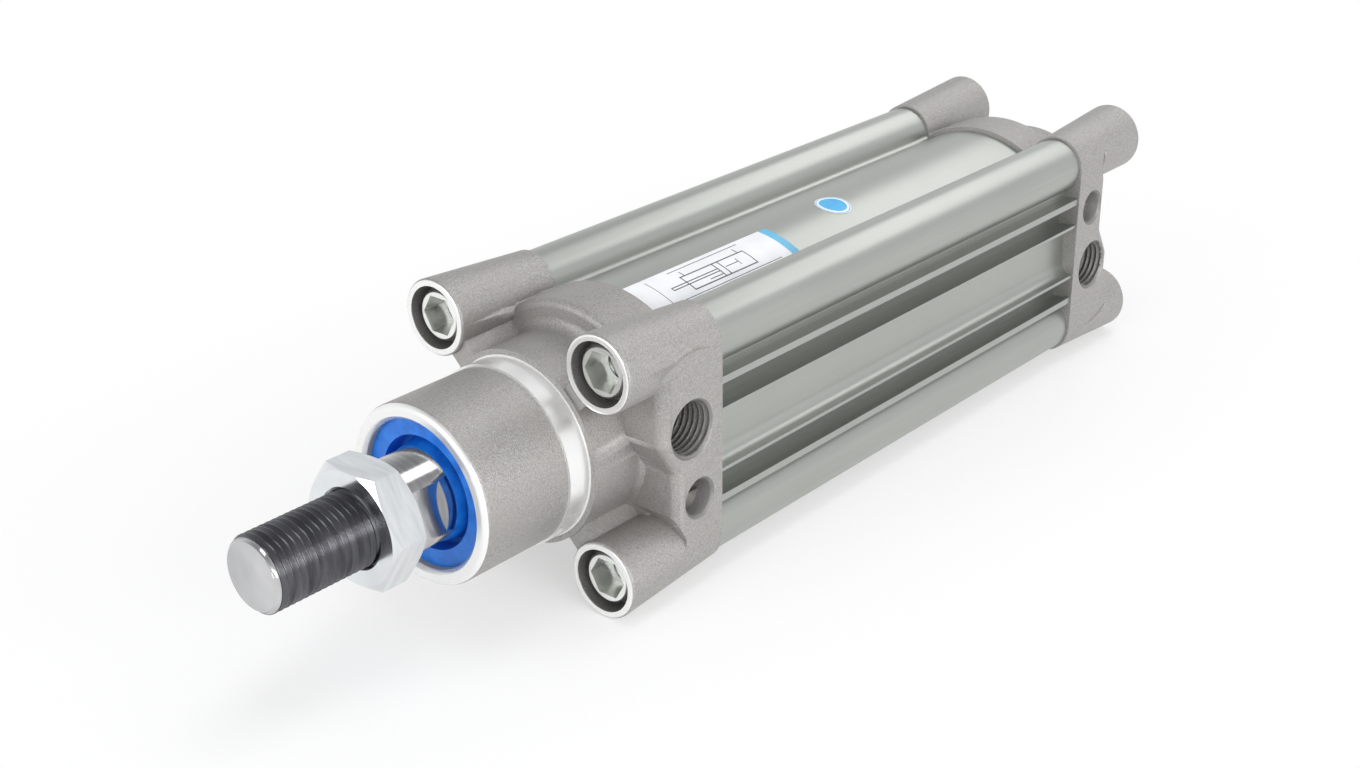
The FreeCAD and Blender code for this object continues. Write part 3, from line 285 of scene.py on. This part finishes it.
def plated_steel(name, light, dark, roughness, scale=700.0):
    """Bright plated or turned metal: sharp reflections, broken by fine turning marks."""
    material, tree, shader, place = start_material(name)
    marks = noise(tree, place, scale, 2.0, (1.0, 0.15, 0.15))
    cloud = noise(tree, place, 200.0, 2.0)
    colour = mottle(tree, marks, srgb(dark), srgb(light))
    tree.links.new(colour, shader.inputs["Base Color"])
    plug(tree, shader, "Metallic", 1.0)
    plug(tree, shader, "Roughness", ramp(tree, cloud, 0.3, 0.7, roughness, roughness + 0.08))
    bump(tree, shader, marks, 0.01 * MM)
    return material


def rod_steel(name):
    """Ground and chromed rod, mirror bright; its roll-formed thread is painted far darker than
    steel, partly for the unchromed steel and partly as painted shade in its grooves.
    """
    material, tree, shader, place = start_material(name)
    x = add_node(tree, "ShaderNodeSeparateXYZ", {0: place}).outputs[0]
    thread = between(tree, x, *ROD_THREAD)
    marks = noise(tree, place, 900.0, 2.0, (1.0, 0.1, 0.1))
    bright = mottle(tree, marks, srgb("b4b4b6"), srgb("cfcfd0"))
    # Painted shade: the thread's dark colour is partly unchromed steel and partly painted shade of
    # the thread grooves
    thread_steel_and_shade = mottle(tree, marks, srgb("48484c"), srgb("66666a"))
    tree.links.new(blend_colour(tree, thread, bright, thread_steel_and_shade), shader.inputs["Base Color"])
    plug(tree, shader, "Metallic", 1.0)
    plug(tree, shader, "Roughness", ramp(tree, thread, 0.0, 1.0, 0.14, 0.26))
    bump(tree, shader, marks, 0.01 * MM)
    return material


def elastomer(name, light, dark, roughness):
    """Moulded rubber or plastic: a dull, even gloss over faint clouds."""
    material, tree, shader, place = start_material(name)
    cloud = noise(tree, place, 300.0, 3.0)
    colour = mottle(tree, cloud, dark, light)
    tree.links.new(colour, shader.inputs["Base Color"])
    plug(tree, shader, "Roughness", roughness)
    plug(tree, shader, "Specular IOR Level", 0.4)
    bump(tree, shader, cloud, 0.04 * MM)
    return material


def label_film(name, band):
    """White printed film: the line symbol of a cylinder and a plain band at the far end."""
    material, tree, shader, place = start_material(name)
    x, y, z = add_node(tree, "ShaderNodeSeparateXYZ", {0: place}).outputs
    along = value_math(tree, "MULTIPLY", x, 1.0 / MM)
    across = value_math(tree, "MULTIPLY", value_math(tree, "ARCTAN2", y, z), ARCH / MM)
    # Each stroke of the print: middle and half size along and across the label, in millimetres
    strokes = [
        (-56.0, 11.2, 10.8, 0.17), (-56.0, 6.4, 10.8, 0.17),
        (-66.8, 8.8, 0.17, 2.57), (-45.2, 8.8, 0.17, 2.57),
        (-57.6, 8.8, 0.17, 2.4), (-55.8, 8.8, 0.17, 2.4),
        (-48.0, 9.2, 7.8, 0.15), (-48.0, 8.4, 7.8, 0.15), (-40.2, 8.8, 0.15, 0.55),
        (-65.2, 5.5, 0.15, 0.9), (-46.8, 5.5, 0.15, 0.9),
        (-60.4, 8.8, 2.2, 0.13), (-62.6, 8.8, 0.13, 1.1), (-53.4, 10.3, 2.2, 0.13),
        (-56.0, 3.6, 12.0, 0.12), (-56.0, 12.6, 18.0, 0.1),
        (-36.6, 8.0, 0.1, 4.4),
    ]
    ink = any_of(tree, [
        both(
            tree,
            between(tree, along, middle - half, middle + half),
            between(tree, across, level - rise, level + rise))
        for middle, level, half, rise in strokes
    ])
    far = below(tree, along, -77.6)
    cloud = noise(tree, place, 120.0, 2.0)
    paper = mottle(tree, cloud, srgb("e6e8ec"), srgb("f4f5f8"))
    colour = blend_colour(tree, ink, blend_colour(tree, far, paper, band), srgb("2b2d32"))
    tree.links.new(colour, shader.inputs["Base Color"])
    plug(tree, shader, "Roughness", 0.32)
    bump(tree, shader, cloud, 0.01 * MM)
    return material


def sticker_film(name, settings, disc):
    """Round blue film with a pale ring inside its edge."""
    material, tree, shader, place = start_material(name)
    centre = add_node(
        tree, "ShaderNodeVectorMath", {0: place, 1: (settings.along, settings.side, 0.0)},
        operation="SUBTRACT")
    x, y, _ = add_node(tree, "ShaderNodeSeparateXYZ", {0: centre.outputs[0]}).outputs
    reach = length_of(tree, x, y)
    ring = between(tree, reach, 0.78 * settings.radius, 0.9 * settings.radius)
    rim = above(tree, reach, 0.955 * settings.radius)
    cloud = noise(tree, place, 260.0, 2.0)
    blue = mottle(tree, cloud, disc, srgb("3fb2e8"))
    colour = blend_colour(tree, any_of(tree, [ring, rim]), blue, srgb("f2f6fa"))
    tree.links.new(colour, shader.inputs["Base Color"])
    plug(tree, shader, "Roughness", 0.35)
    bump(tree, shader, cloud, 0.01 * MM)
    return material


def paper_sweep(name, clear, far):
    """White paper: it keeps the shadow near the object and runs out to plain white."""
    material, tree, shader, place = start_material(name)
    x, y, _ = add_node(tree, "ShaderNodeSeparateXYZ", {0: place}).outputs
    fibre = noise(tree, place, 900.0, 2.0)
    paper = blend_colour(tree, fibre, srgb("f6f6f6"), srgb("fafafa"))
    tree.links.new(paper, shader.inputs["Base Color"])
    plug(tree, shader, "Roughness", 0.7)
    middle = value_math(tree, "ABSOLUTE", value_math(tree, "SUBTRACT", x, MIDDLE))
    beyond = value_math(tree, "MAXIMUM", value_math(tree, "SUBTRACT", middle, 120.0 * MM), 0.0)
    fade = ramp(tree, length_of(tree, beyond, y), clear, far, 0.5, 1.0)
    path = add_node(tree, "ShaderNodeLightPath")
    seen = any_of(tree, [path.outputs[ray] for ray in (
        "Is Camera Ray", "Is Glossy Ray", "Is Transmission Ray")])
    glow = add_node(tree, "ShaderNodeEmission", {"Color": WHITE, "Strength": 1.0})
    mix = add_node(tree, "ShaderNodeMixShader", {
        0: value_math(tree, "MULTIPLY", seen, fade), 1: shader.outputs["BSDF"], 2: glow.outputs[0]})
    output = next(node for node in tree.nodes if node.bl_idname == "ShaderNodeOutputMaterial")
    tree.links.new(mix.outputs[0], output.inputs["Surface"])
    return material


def paint(objects, material):
    """Gives each object this one material."""
    for item in objects:
        item.data.materials.clear()
        item.data.materials.append(material)


def place_mesh(item, matrix):
    """Moves the mesh itself, so that the object stays at the origin."""
    item.data.transform(matrix)
    item.matrix_world = Matrix.Identity(4)


def add_groove(name, inner, outer, pitch, root_flat, crest_flat, start, turns, steps=40):
    """A closed helical ridge about X, to be taken out of a round part as its thread groove."""
    bpy.ops.mesh.primitive_plane_add(size=1.0)
    groove = bpy.context.active_object
    groove.name = name
    narrow, wide = root_flat / 2, (pitch - crest_flat) / 2
    corners = [(-narrow, inner), (narrow, inner), (-wide, outer), (wide, outer)]
    for vertex, (x, y) in zip(groove.data.vertices, corners):
        vertex.co = (start + x, y, 0.0)
    bpy.ops.object.mode_set(mode="EDIT")
    bpy.ops.mesh.select_all(action="SELECT")
    bpy.ops.mesh.delete(type="ONLY_FACE")
    bpy.ops.object.mode_set(mode="OBJECT")
    screw = groove.modifiers.new("Helix", "SCREW")
    screw.axis = "X"
    screw.angle = 2 * math.pi
    screw.screw_offset = pitch
    screw.iterations = turns
    screw.steps = steps
    screw.render_steps = steps
    screw.use_normal_calculate = True
    bpy.ops.object.modifier_apply(modifier=screw.name)
    bpy.ops.object.mode_set(mode="EDIT")
    bpy.ops.mesh.select_all(action="SELECT")
    bpy.ops.mesh.remove_doubles(threshold=1e-7)
    bpy.ops.mesh.select_all(action="DESELECT")
    bpy.ops.mesh.select_non_manifold()
    bpy.ops.mesh.fill_holes(sides=0)
    bpy.ops.mesh.select_all(action="SELECT")
    bpy.ops.mesh.normals_make_consistent(inside=False)
    bpy.ops.object.mode_set(mode="OBJECT")
    return groove


def cut_groove(node, groove, body):
    """Takes the groove out of a part of the frame and hides the cutter."""
    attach(groove, body)
    groove.hide_render = True
    groove.hide_viewport = False
    groove.display_type = "WIRE"
    cut = node.modifiers.new("Thread", "BOOLEAN")
    cut.operation = "DIFFERENCE"
    cut.solver = "EXACT"
    cut.use_self = True
    cut.object = groove


def join(items):
    """Joins meshes into the first."""
    bpy.ops.object.select_all(action="DESELECT")
    for item in items:
        item.select_set(True)
    bpy.context.view_layer.objects.active = items[0]
    bpy.ops.object.join()
    return bpy.context.active_object


class CylinderThreads(bpy.types.PropertyGroup):
    """Sizes of the threads that are cut into the frame's parts"""
    rod_pitch: bpy.props.FloatProperty(
        name="Rod pitch", description="Pitch of the rod thread", default=1.5 * MM, unit="LENGTH")
    rod_depth: bpy.props.FloatProperty(
        name="Rod depth", description="Depth of the rod thread", default=0.92 * MM, unit="LENGTH")
    port_pitch: bpy.props.FloatProperty(
        name="Port pitch", description="Pitch of the port thread", default=1.337 * MM,
        unit="LENGTH")
    port_depth: bpy.props.FloatProperty(
        name="Port depth", description="Depth of the port thread", default=0.85 * MM, unit="LENGTH")
    screw_pitch: bpy.props.FloatProperty(
        name="Screw pitch", description="Pitch of the thread in a cap screw",
        default=1.25 * MM, unit="LENGTH")


class CylinderSticker(bpy.types.PropertyGroup):
    """Size and place of the round sticker"""
    radius: bpy.props.FloatProperty(
        name="Radius", description="Radius of the round sticker", default=4.4 * MM, unit="LENGTH")
    thickness: bpy.props.FloatProperty(
        name="Thickness", description="Thickness of its film", default=0.1 * MM, unit="LENGTH")
    along: bpy.props.FloatProperty(
        name="Along", description="Place of its middle along the barrel",
        default=-104.7 * MM, unit="LENGTH")
    side: bpy.props.FloatProperty(
        name="Side", description="Place of its middle toward the port side",
        default=4.0 * MM, unit="LENGTH")


class CylinderColours(bpy.types.PropertyGroup):
    """Colours a user may change"""
    seal: bpy.props.FloatVectorProperty(
        name="Seals", description="Colour of the wiper and the seals", subtype="COLOR", size=4,
        default=srgb("2080e6"))
    band: bpy.props.FloatVectorProperty(
        name="Label band", description="Colour of the band on the label", subtype="COLOR", size=4,
        default=srgb("56b4df"))
    sticker: bpy.props.FloatVectorProperty(
        name="Sticker", description="Colour of the round sticker", subtype="COLOR", size=4,
        default=srgb("2aa4e2"))


class CylinderStage(bpy.types.PropertyGroup):
    """Where the camera stands and how it looks"""
    azimuth: bpy.props.FloatProperty(
        name="Azimuth", description="Side the camera stands on",
        default=math.radians(128.853), unit="ROTATION")
    elevation: bpy.props.FloatProperty(
        name="Elevation", description="Height angle of the camera",
        default=math.radians(23.174), unit="ROTATION")
    roll: bpy.props.FloatProperty(
        name="Roll", description="Turn about the line of sight",
        default=math.radians(0.167), unit="ROTATION")
    pan: bpy.props.FloatProperty(
        name="Pan", description="Turn away from the target, sideways",
        default=math.radians(1.465), unit="ROTATION")
    tilt: bpy.props.FloatProperty(
        name="Tilt", description="Turn away from the target, upwards",
        default=math.radians(1.161), unit="ROTATION")
    distance: bpy.props.FloatProperty(
        name="Distance", description="Camera to target", default=443.505 * MM, unit="LENGTH")
    lens: bpy.props.FloatProperty(
        name="Lens", description="Focal length in millimetres on a 36 mm sensor", default=50.18)


class CYLINDER_OT_materials(bpy.types.Operator):
    """Gives every part of the frame its material"""
    bl_idname = "cylinder.materials"
    bl_label = "Paint the parts"

    def execute(self, context):
        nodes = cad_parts
        colours = context.scene.cylinder_colours
        # Die cast caps, blasted, with machined faces
        paint([nodes["front_cap"]], cast_aluminium("Blasted die cast aluminium front", True))
        paint([nodes["rear_cap"]], cast_aluminium("Blasted die cast aluminium rear", False))
        # Barrel extrusion
        paint([nodes["profile_barrel"]], drawn_aluminium("Satin anodised aluminium extrusion"))
        # Cap screws, zinc plated and passivated
        paint([nodes["front_cap_screws"], nodes["rear_cap_screws"]],
              plated_steel("Zinc plated steel screw", "f8f9f6", "e8eae6", 0.26))
        # Nut, bright zinc
        paint([nodes["rod_nut"]], plated_steel("Zinc plated steel nut", "eceff0", "dadddf", 0.14))
        # Rod, ground and hard chromed
        paint([nodes["piston_rod"]], rod_steel("Hard chromed ground steel"))
        # Cushion screws, nickel plated
        paint([nodes["front_cushion_screw"], nodes["rear_cushion_screw"]],
              plated_steel("Nickel plated steel", "c8c6c2", "a5a4a0", 0.25))
        # Piston bolt, black oxide
        paint([nodes["piston_bolt"]], plated_steel("Black oxide steel", "2e2e30", "1c1c1e", 0.4))
        # Piston halves and cushion sleeves, turned aluminium
        paint([nodes[name] for name in (
            "piston_front_half", "piston_rear_half",
            "front_cushion_sleeve", "rear_cushion_sleeve")],
            plated_steel("Turned aluminium", "d6d6d6", "c2c2c2", 0.3))
        # Wiper, cushion seals and piston seals, blue polyurethane
        paint([nodes[name] for name in (
            "rod_wiper", "front_cushion_seal", "rear_cushion_seal",
            "front_piston_seal", "rear_piston_seal")],
            elastomer("Blue polyurethane", colours.seal, srgb("1263c6"), 0.34))
        # Static rings, nitrile rubber
        paint([nodes[name] for name in (
            "front_barrel_ring", "rear_barrel_ring", "piston_joint_ring",
            "front_cushion_screw_ring", "rear_cushion_screw_ring")],
            elastomer("Black nitrile rubber", srgb("1d1d1e"), srgb("121213"), 0.5))
        # Rod bush, bronze lining
        paint([nodes["rod_bush"]], plated_steel("Bronze bush lining", "b08a5a", "8f6d45", 0.4))
        # Guide ring and magnet
        paint([nodes["guide_ring"]],
              elastomer("Acetal guide ring", srgb("e6e1d2"), srgb("d8d2c0"), 0.45))
        paint([nodes["magnet_ring"]],
              elastomer("Bonded ferrite magnet", srgb("333336"), srgb("242427"), 0.6))
        # Printed film; the sticker's comes with its own piece
        paint([nodes["barrel_label"]], label_film("White printed label film", colours.band))
        return {"FINISHED"}


class CYLINDER_OT_rod_thread(bpy.types.Operator):
    """Cuts the thread of the rod"""
    bl_idname = "cylinder.rod_thread"
    bl_label = "Rod thread"

    def execute(self, context):
        settings = context.scene.cylinder_threads
        radius = 8.0 * MM  # of the threaded length, as the source has it
        groove = add_groove(
            "rod_thread_groove", inner=radius - settings.rod_depth, outer=radius + 0.06 * MM,
            pitch=settings.rod_pitch, root_flat=settings.rod_pitch / 4, crest_flat=0.12 * MM,
            start=39.0 * MM, turns=21)
        cut_groove(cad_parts["piston_rod"], groove, "rod")
        return {"FINISHED"}


class CYLINDER_OT_port_threads(bpy.types.Operator):
    """Cuts the pipe thread of both ports"""
    bl_idname = "cylinder.port_threads"
    bl_label = "Port threads"

    def execute(self, context):
        settings = context.scene.cylinder_threads
        radius = 5.725 * MM  # of the bore, as the source has it
        places = (
            ("front_cap", PORT_DEPTH, PORT_HEIGHT), ("rear_cap", BACK - PORT_DEPTH, -PORT_HEIGHT))
        for node, x, z in places:
            groove = add_groove(
                node + "_port_groove", inner=radius + settings.port_depth,
                outer=radius - 0.08 * MM, pitch=settings.port_pitch,
                root_flat=settings.port_pitch / 5, crest_flat=0.2 * MM,
                start=-10.5 * MM, turns=8)
            turn = Matrix.Rotation(math.radians(90), 4, "Z")
            place_mesh(groove, Matrix.Translation((x, PORT_FACE, z)) @ turn)
            cut_groove(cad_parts[node], groove, "cylinder")
        return {"FINISHED"}


class CYLINDER_OT_screw_threads(bpy.types.Operator):
    """Cuts the thread inside the head of each cap screw"""
    bl_idname = "cylinder.screw_threads"
    bl_label = "Screw threads"

    def execute(self, context):
        settings = context.scene.cylinder_threads
        radius = 3.32 * MM  # of the bore behind the hexagon
        inward = 8.2 * MM  # the groove starts this far behind the front sockets' bottoms
        outward = 0.7 * MM  # and this far over the rear ones'
        places = (
            ("front_cap_screws", -SOCKET_DEPTH - inward),
            ("rear_cap_screws", BACK + SOCKET_DEPTH + outward))
        for node, x in places:
            grooves = []
            for side in (1, -1):
                for height in (1, -1):
                    groove = add_groove(
                        node + "_groove", inner=radius + 0.62 * MM, outer=radius - 0.06 * MM,
                        pitch=settings.screw_pitch, root_flat=settings.screw_pitch / 5,
                        crest_flat=0.2 * MM, start=0.0, turns=6, steps=32)
                    place_mesh(
                        groove, Matrix.Translation((x, side * CORNER, height * CORNER)))
                    grooves.append(groove)
            cut_groove(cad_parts[node], join(grooves), "cylinder")
        return {"FINISHED"}


class CYLINDER_OT_sticker(bpy.types.Operator):
    """Lays the round sticker on the arch of the barrel, in place of the frame's plain one"""
    bl_idname = "cylinder.sticker"
    bl_label = "Round sticker"

    def execute(self, context):
        settings = context.scene.cylinder_sticker
        bpy.ops.object.select_all(action="DESELECT")
        bpy.ops.mesh.primitive_circle_add(vertices=72, radius=settings.radius, fill_type="NGON")
        sticker = context.active_object
        sticker.name = "sticker_film"
        bpy.ops.object.mode_set(mode="EDIT")
        # Rings of edges, so that the disc can follow the arch
        rings = 5
        for _ in range(rings):
            bpy.ops.mesh.inset(thickness=settings.radius / (rings + 1))
        bpy.ops.object.mode_set(mode="OBJECT")
        outside = ARCH + 1.2 * settings.thickness
        for vertex in sticker.data.vertices:
            vertex.co.x += settings.along
            vertex.co.y += settings.side
            vertex.co.z = math.sqrt(outside ** 2 - vertex.co.y ** 2)
        film = sticker.modifiers.new("Film", "SOLIDIFY")
        film.thickness = settings.thickness
        film.offset = -1.0
        bpy.ops.object.modifier_apply(modifier=film.name)
        paint([sticker], sticker_film(
            "Blue printed sticker film", settings, context.scene.cylinder_colours.sticker))
        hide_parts("round_sticker")
        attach(sticker, "cylinder")
        return {"FINISHED"}


class CYLINDER_OT_stage(bpy.types.Operator):
    """Floor, studio light, background and camera"""
    bl_idname = "cylinder.stage"
    bl_label = "Stage"

    def execute(self, context):
        settings = context.scene.cylinder_stage
        scene = context.scene
        bpy.ops.mesh.primitive_plane_add(size=12.0)
        floor = context.active_object
        floor.name = "floor"
        place_mesh(floor, Matrix.Translation((0.0, 0.0, FLOOR)))
        paint([floor], paper_sweep("White paper sweep", clear=30.0 * MM, far=170.0 * MM))

        # Camera on a sphere round the target, then rolled and turned a little off it
        target = Vector((MIDDLE, 0.0, 0.0))
        turn, rise = settings.azimuth, settings.elevation
        back = Vector((
            math.sin(turn) * math.cos(rise), -math.cos(turn) * math.cos(rise), math.sin(rise)))
        right = Vector((0, 0, 1)).cross(back).normalized()
        up = back.cross(right)
        roll = settings.roll
        right, up = (
            right * math.cos(roll) + up * math.sin(roll),
            up * math.cos(roll) - right * math.sin(roll))
        centre = target + back * settings.distance
        back = (back + right * math.tan(settings.pan) + up * math.tan(settings.tilt)).normalized()
        right = up.cross(back).normalized()
        up = back.cross(right)
        bpy.ops.object.camera_add()
        camera = context.active_object
        camera.name = "photo_camera"
        camera.data.sensor_width = 36.0
        camera.data.lens = settings.lens
        camera.data.clip_start = 0.01
        camera.matrix_world = Matrix((
            (right.x, up.x, back.x, centre.x),
            (right.y, up.y, back.y, centre.y),
            (right.z, up.z, back.z, centre.z),
            (0.0, 0.0, 0.0, 1.0),
        ))
        scene.camera = camera

        # Soft boxes: name, place, width, height and power in watts
        lights = (
            ("key_above", (-0.1, 0.1, 0.8), 0.7, 0.3, 1.6),
            ("back_softbox", (-0.8, 0.06, 0.58), 0.8, 0.22, 1.3),
            ("fill_port_side", (0.1, 0.85, 0.25), 0.8, 0.4, 4.2),
            ("fill_front", (0.75, -0.1, 0.25), 0.5, 0.4, 2.2),
        )
        for name, spot, width, depth, power in lights:
            bpy.ops.object.light_add(type="AREA", location=spot)
            light = context.active_object
            light.name = name
            light.data.shape = "RECTANGLE"
            light.data.size = width
            light.data.size_y = depth
            light.data.energy = power
            aim = Vector((-80.0 * MM, 0.0, 0.0)) - Vector(spot)
            light.rotation_euler = aim.to_track_quat("-Z", "Y").to_euler()

        # Room light, dimmer overhead; plain white where the camera sees it
        world = bpy.data.worlds.new("Studio")
        scene.world = world
        world.use_nodes = True
        tree = world.node_tree
        tree.nodes.clear()
        path = add_node(tree, "ShaderNodeLightPath")
        seen = any_of(
            tree, [path.outputs[ray] for ray in ("Is Camera Ray", "Is Transmission Ray")])
        direction = add_node(tree, "ShaderNodeTexCoord").outputs["Generated"]
        rise = add_node(tree, "ShaderNodeSeparateXYZ", {0: direction}).outputs[2]
        level = ramp(tree, rise, 0.3, 0.9, 1.0, 0.4)
        room = add_node(
            tree, "ShaderNodeBackground", {"Color": srgb("f6f7f8"), "Strength": level})
        plain = add_node(tree, "ShaderNodeBackground", {"Color": WHITE, "Strength": 1.0})
        mix = add_node(
            tree, "ShaderNodeMixShader", {0: seen, 1: room.outputs[0], 2: plain.outputs[0]})
        add_node(tree, "ShaderNodeOutputWorld", {"Surface": mix.outputs[0]})
        scene.view_settings.view_transform = "Standard"
        return {"FINISHED"}


class CYLINDER_PT_panel(bpy.types.Panel):
    """Panel with the settings and steps of the cylinder"""
    bl_idname = "CYLINDER_PT_panel"
    bl_label = "Cylinder"
    bl_space_type = "VIEW_3D"
    bl_region_type = "UI"
    bl_category = "Cylinder"

    def draw(self, context):
        layout = self.layout
        scene = context.scene
        for group in (
                scene.cylinder_threads, scene.cylinder_sticker,
                scene.cylinder_colours, scene.cylinder_stage):
            for name in group.__annotations__:
                layout.prop(group, name)
        for step in STEPS:
            layout.operator(step.bl_idname)


GROUPS = (CylinderThreads, CylinderSticker, CylinderColours, CylinderStage)
STEPS = (
    CYLINDER_OT_materials,
    CYLINDER_OT_rod_thread,
    CYLINDER_OT_port_threads,
    CYLINDER_OT_screw_threads,
    CYLINDER_OT_sticker,
    CYLINDER_OT_stage,
)


def register():
    for item in (*GROUPS, *STEPS, CYLINDER_PT_panel):
        bpy.utils.register_class(item)
    bpy.types.Scene.cylinder_threads = bpy.props.PointerProperty(type=CylinderThreads)
    bpy.types.Scene.cylinder_sticker = bpy.props.PointerProperty(type=CylinderSticker)
    bpy.types.Scene.cylinder_colours = bpy.props.PointerProperty(type=CylinderColours)
    bpy.types.Scene.cylinder_stage = bpy.props.PointerProperty(type=CylinderStage)


def unregister():
    del bpy.types.Scene.cylinder_stage
    del bpy.types.Scene.cylinder_colours
    del bpy.types.Scene.cylinder_sticker
    del bpy.types.Scene.cylinder_threads
    for item in reversed((*GROUPS, *STEPS, CYLINDER_PT_panel)):
        bpy.utils.unregister_class(item)


def main():
    register()
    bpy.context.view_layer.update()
    bpy.ops.cylinder.materials()
    bpy.ops.cylinder.rod_thread()
    bpy.ops.cylinder.port_threads()
    bpy.ops.cylinder.screw_threads()
    bpy.ops.cylinder.sticker()
    bpy.ops.cylinder.stage()


if __name__ == "__main__":
    main()
